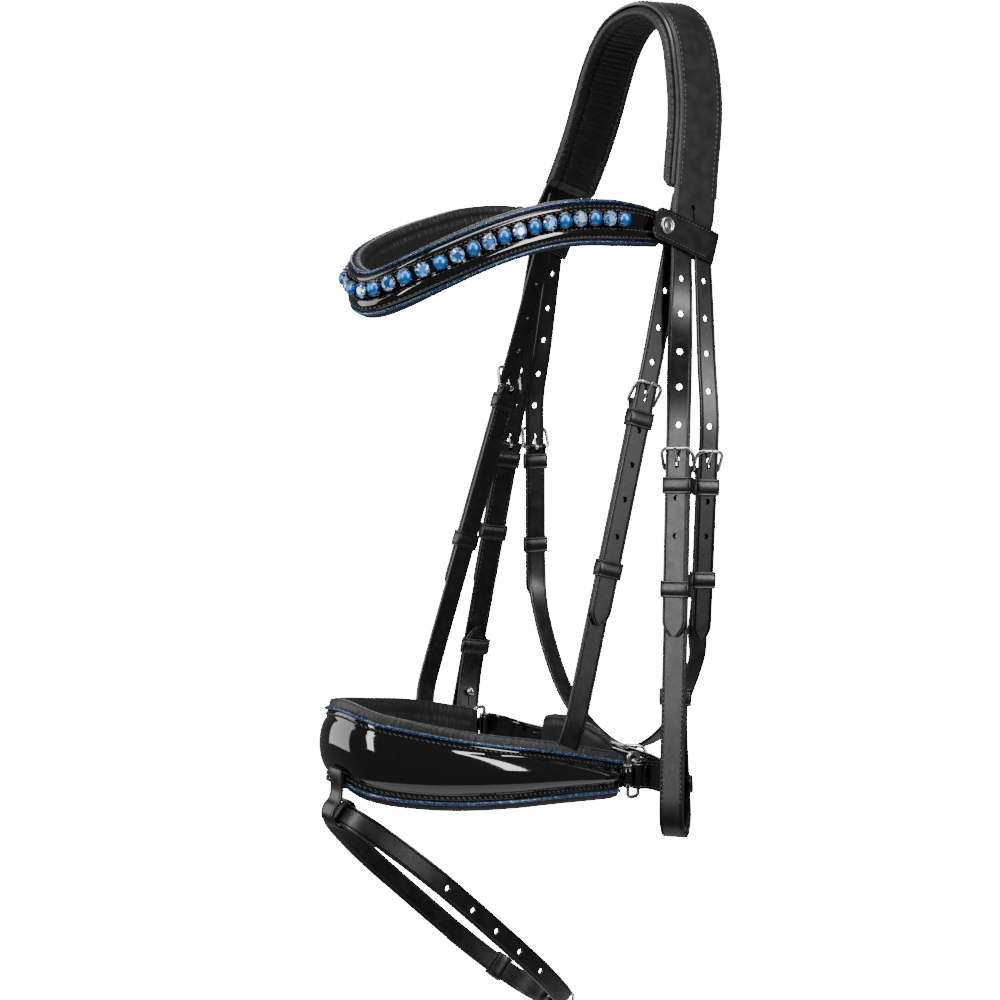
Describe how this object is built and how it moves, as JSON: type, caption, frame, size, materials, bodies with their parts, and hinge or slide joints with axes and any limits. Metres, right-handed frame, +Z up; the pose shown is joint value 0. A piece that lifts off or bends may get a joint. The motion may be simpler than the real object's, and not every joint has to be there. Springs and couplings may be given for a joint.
{
  "type": "snaffle bridle",
  "caption": "Black leather snaffle bridle: padded crown, stone-set browband, cheekpieces with hook-stud bit loops, throatlash, padded crank noseband and flash strap, all with buckles.",
  "frame": {"origin": "the poll seat: the middle of the crown padding at the top of its arch; the padding rests on the poll 5 mm below it", "axes": "+Z up, the horse faces -Y, +X to the horse's left (near) side"},
  "size_m": [0.2191, 0.2667, 0.6281],
  "materials": {
    "black_leather": "smooth dyed bridle leather, satin, fine grain and creases",
    "lining_leather": "soft matte lining leather over padding",
    "black_patent": "patent leather, mirror gloss",
    "glitter_piping": "blue glitter cord",
    "crown_cord": "glossy black cord",
    "stainless_steel": "polished stainless",
    "stone_setting": "dark polished metal",
    "blue_pearl": "pearl lustre",
    "pale_crystal": "faceted, clear pale blue"
  },
  "bodies": {
    "headpiece": {"crown_leather": "black_leather", "crown_padding": "lining_leather", "crown_piping": "crown_cord", "sliphead_arch": "black_leather", "browband_padding": "lining_leather", "browband_patent": "black_patent", "browband_piping": "glitter_piping", "stone_settings": "stone_setting", "pearls": "blue_pearl", "crystals": "pale_crystal", "browband_tabs": "black_leather", "snap_studs": "stainless_steel"},
    "near_flap": {"near_browband_flap": "black_leather", "near_snap_cap": "stainless_steel"},
    "near_cheekpiece": {"near_cheek_billet": "black_leather", "near_cheek_buckle": "stainless_steel", "near_cheek_strap": "black_leather", "near_cheek_keepers": "black_leather", "near_hook_stud": "stainless_steel"},
    "far_flap": {"far_browband_flap": "black_leather", "far_snap_cap": "stainless_steel"},
    "far_cheekpiece": {"far_cheek_billet": "black_leather", "far_cheek_buckle": "stainless_steel", "far_cheek_strap": "black_leather", "far_cheek_keepers": "black_leather", "far_hook_stud": "stainless_steel"},
    "throatlash": {"throatlash_billets": "black_leather", "throatlash_strap": "black_leather", "throatlash_buckles": "stainless_steel", "throatlash_keepers": "black_leather"},
    "noseband": {"sliphead_billets": "black_leather", "noseband_straps": "black_leather", "noseband_strap_buckles": "stainless_steel", "noseband_strap_keepers": "black_leather", "noseband_padding": "lining_leather", "noseband_patent": "black_patent", "noseband_rings": "stainless_steel", "noseband_piping": "glitter_piping", "flash_loop": "black_leather", "crank_strap": "black_patent", "crank_chape": "black_leather", "crank_buckle": "stainless_steel", "chin_pad": "lining_leather"},
    "flash": {"flash_strap": "black_leather", "flash_buckle": "stainless_steel", "flash_keeper": "black_leather"},
    "near_cheek_tongue_part": {"near_cheek_tongue": "stainless_steel"},
    "near_cheek_runner_part": {"near_cheek_runner": "black_leather"},
    "near_throatlash_tongue_part": {"near_throatlash_tongue": "stainless_steel"},
    "near_throatlash_runner_part": {"near_throatlash_runner": "black_leather"},
    "near_noseband_tongue_part": {"near_noseband_tongue": "stainless_steel"},
    "near_noseband_runner_part": {"near_noseband_runner": "black_leather"},
    "far_cheek_tongue_part": {"far_cheek_tongue": "stainless_steel"},
    "far_cheek_runner_part": {"far_cheek_runner": "black_leather"},
    "far_throatlash_tongue_part": {"far_throatlash_tongue": "stainless_steel"},
    "far_throatlash_runner_part": {"far_throatlash_runner": "black_leather"},
    "far_noseband_tongue_part": {"far_noseband_tongue": "stainless_steel"},
    "far_noseband_runner_part": {"far_noseband_runner": "black_leather"},
    "crank_tongue_part": {"crank_tongue": "stainless_steel"},
    "flash_tongue_part": {"flash_tongue": "stainless_steel"}
  },
  "joints": [
    {"name": "near_flap_hinge", "type": "hinge", "parent": "headpiece", "child": "near_flap", "pos_m": [0.06982, -0.00874, -0.14192], "axis": [-0.0923, 0.3619, 0.9276], "range_deg": [0, 100]},
    {"name": "far_flap_hinge", "type": "hinge", "parent": "headpiece", "child": "far_flap", "pos_m": [-0.06982, -0.00874, -0.14192], "axis": [-0.0923, -0.3619, -0.9276], "range_deg": [0, 100]},
    {"name": "near_cheek_swing", "type": "hinge", "parent": "headpiece", "child": "near_cheekpiece", "pos_m": [0.0697, -0.0371, -0.167], "axis": [-0.2421, -0.9703, 0], "range_deg": [0, 20]},
    {"name": "far_cheek_swing", "type": "hinge", "parent": "headpiece", "child": "far_cheekpiece", "pos_m": [-0.0697, -0.0371, -0.167], "axis": [-0.008, 1, 0], "range_deg": [0, 20]},
    {"name": "throatlash_swing", "type": "hinge", "parent": "headpiece", "child": "throatlash", "pos_m": [0, -0.0207, -0.167], "axis": [1, 0, 0], "range_deg": [0, 3]},
    {"name": "noseband_swing", "type": "hinge", "parent": "headpiece", "child": "noseband", "pos_m": [0, -0.0427, -0.167], "axis": [-1, 0, 0], "range_deg": [0, 3]},
    {"name": "flash_swing", "type": "hinge", "parent": "noseband", "child": "flash", "pos_m": [0, -0.236, -0.462], "axis": [1, 0, 0], "range_deg": [-25, 20]},
    {"name": "near_cheek_tongue_turn", "type": "hinge", "parent": "near_cheekpiece", "child": "near_cheek_tongue_part", "pos_m": [0.0794, -0.04594, -0.26944], "axis": [0.8781, 0.4761, 0.0474], "range_deg": [0, 10]},
    {"name": "near_cheek_runner_slide", "type": "slide", "parent": "near_cheekpiece", "child": "near_cheek_runner_part", "axis": [-0.122, 0.127, 0.9844], "range_m": [-0.02, 0.048]},
    {"name": "near_throatlash_tongue_turn", "type": "hinge", "parent": "throatlash", "child": "near_throatlash_tongue_part", "pos_m": [0.07896, -0.02471, -0.27213], "axis": [0.344, 0.9375, -0.0516], "range_deg": [0, 10]},
    {"name": "near_throatlash_runner_slide", "type": "slide", "parent": "throatlash", "child": "near_throatlash_runner_part", "axis": [-0.0299, 0.0658, 0.9974], "range_m": [0, 0.044]},
    {"name": "near_noseband_tongue_turn", "type": "hinge", "parent": "noseband", "child": "near_noseband_tongue_part", "pos_m": [0.06165, -0.06155, -0.23088], "axis": [0.1966, 0.9378, -0.286], "range_deg": [0, 10]},
    {"name": "near_noseband_runner_slide", "type": "slide", "parent": "noseband", "child": "near_noseband_runner_part", "axis": [-0.051, 0.3011, 0.9522], "range_m": [-0.022, 0.07]},
    {"name": "far_cheek_tongue_turn", "type": "hinge", "parent": "far_cheekpiece", "child": "far_cheek_tongue_part", "pos_m": [-0.0781, -0.04887, -0.26922], "axis": [-0.2429, -0.9578, 0.1537], "range_deg": [0, 10]},
    {"name": "far_cheek_runner_slide", "type": "slide", "parent": "far_cheekpiece", "child": "far_cheek_runner_part", "axis": [0.122, 0.127, 0.9844], "range_m": [-0.03, 0.036]},
    {"name": "far_throatlash_tongue_turn", "type": "hinge", "parent": "throatlash", "child": "far_throatlash_tongue_part", "pos_m": [-0.07896, -0.02649, -0.2721], "axis": [-0.3426, -0.9393, -0.0179], "range_deg": [0, 10]},
    {"name": "far_throatlash_runner_slide", "type": "slide", "parent": "throatlash", "child": "far_throatlash_runner_part", "axis": [0.03, -0.03, 0.9991], "range_m": [0, 0.044]},
    {"name": "far_noseband_tongue_turn", "type": "hinge", "parent": "noseband", "child": "far_noseband_tongue_part", "pos_m": [-0.0616, -0.062, -0.23074], "axis": [0.0161, -0.9536, 0.3006], "range_deg": [0, 10]},
    {"name": "far_noseband_runner_slide", "type": "slide", "parent": "noseband", "child": "far_noseband_runner_part", "axis": [0.051, 0.3011, 0.9522], "range_m": [-0.022, 0.07]},
    {"name": "crank_tongue_turn", "type": "hinge", "parent": "noseband", "child": "crank_tongue_part", "pos_m": [0.028, -0.0417, -0.4575], "axis": [0, 0, 1], "range_deg": [0, 10]},
    {"name": "flash_tongue_turn", "type": "hinge", "parent": "flash", "child": "flash_tongue_part", "pos_m": [0.00417, -0.08131, -0.60755], "axis": [0, 0.6853, 0.7283], "range_deg": [0, 10]}
  ]
}
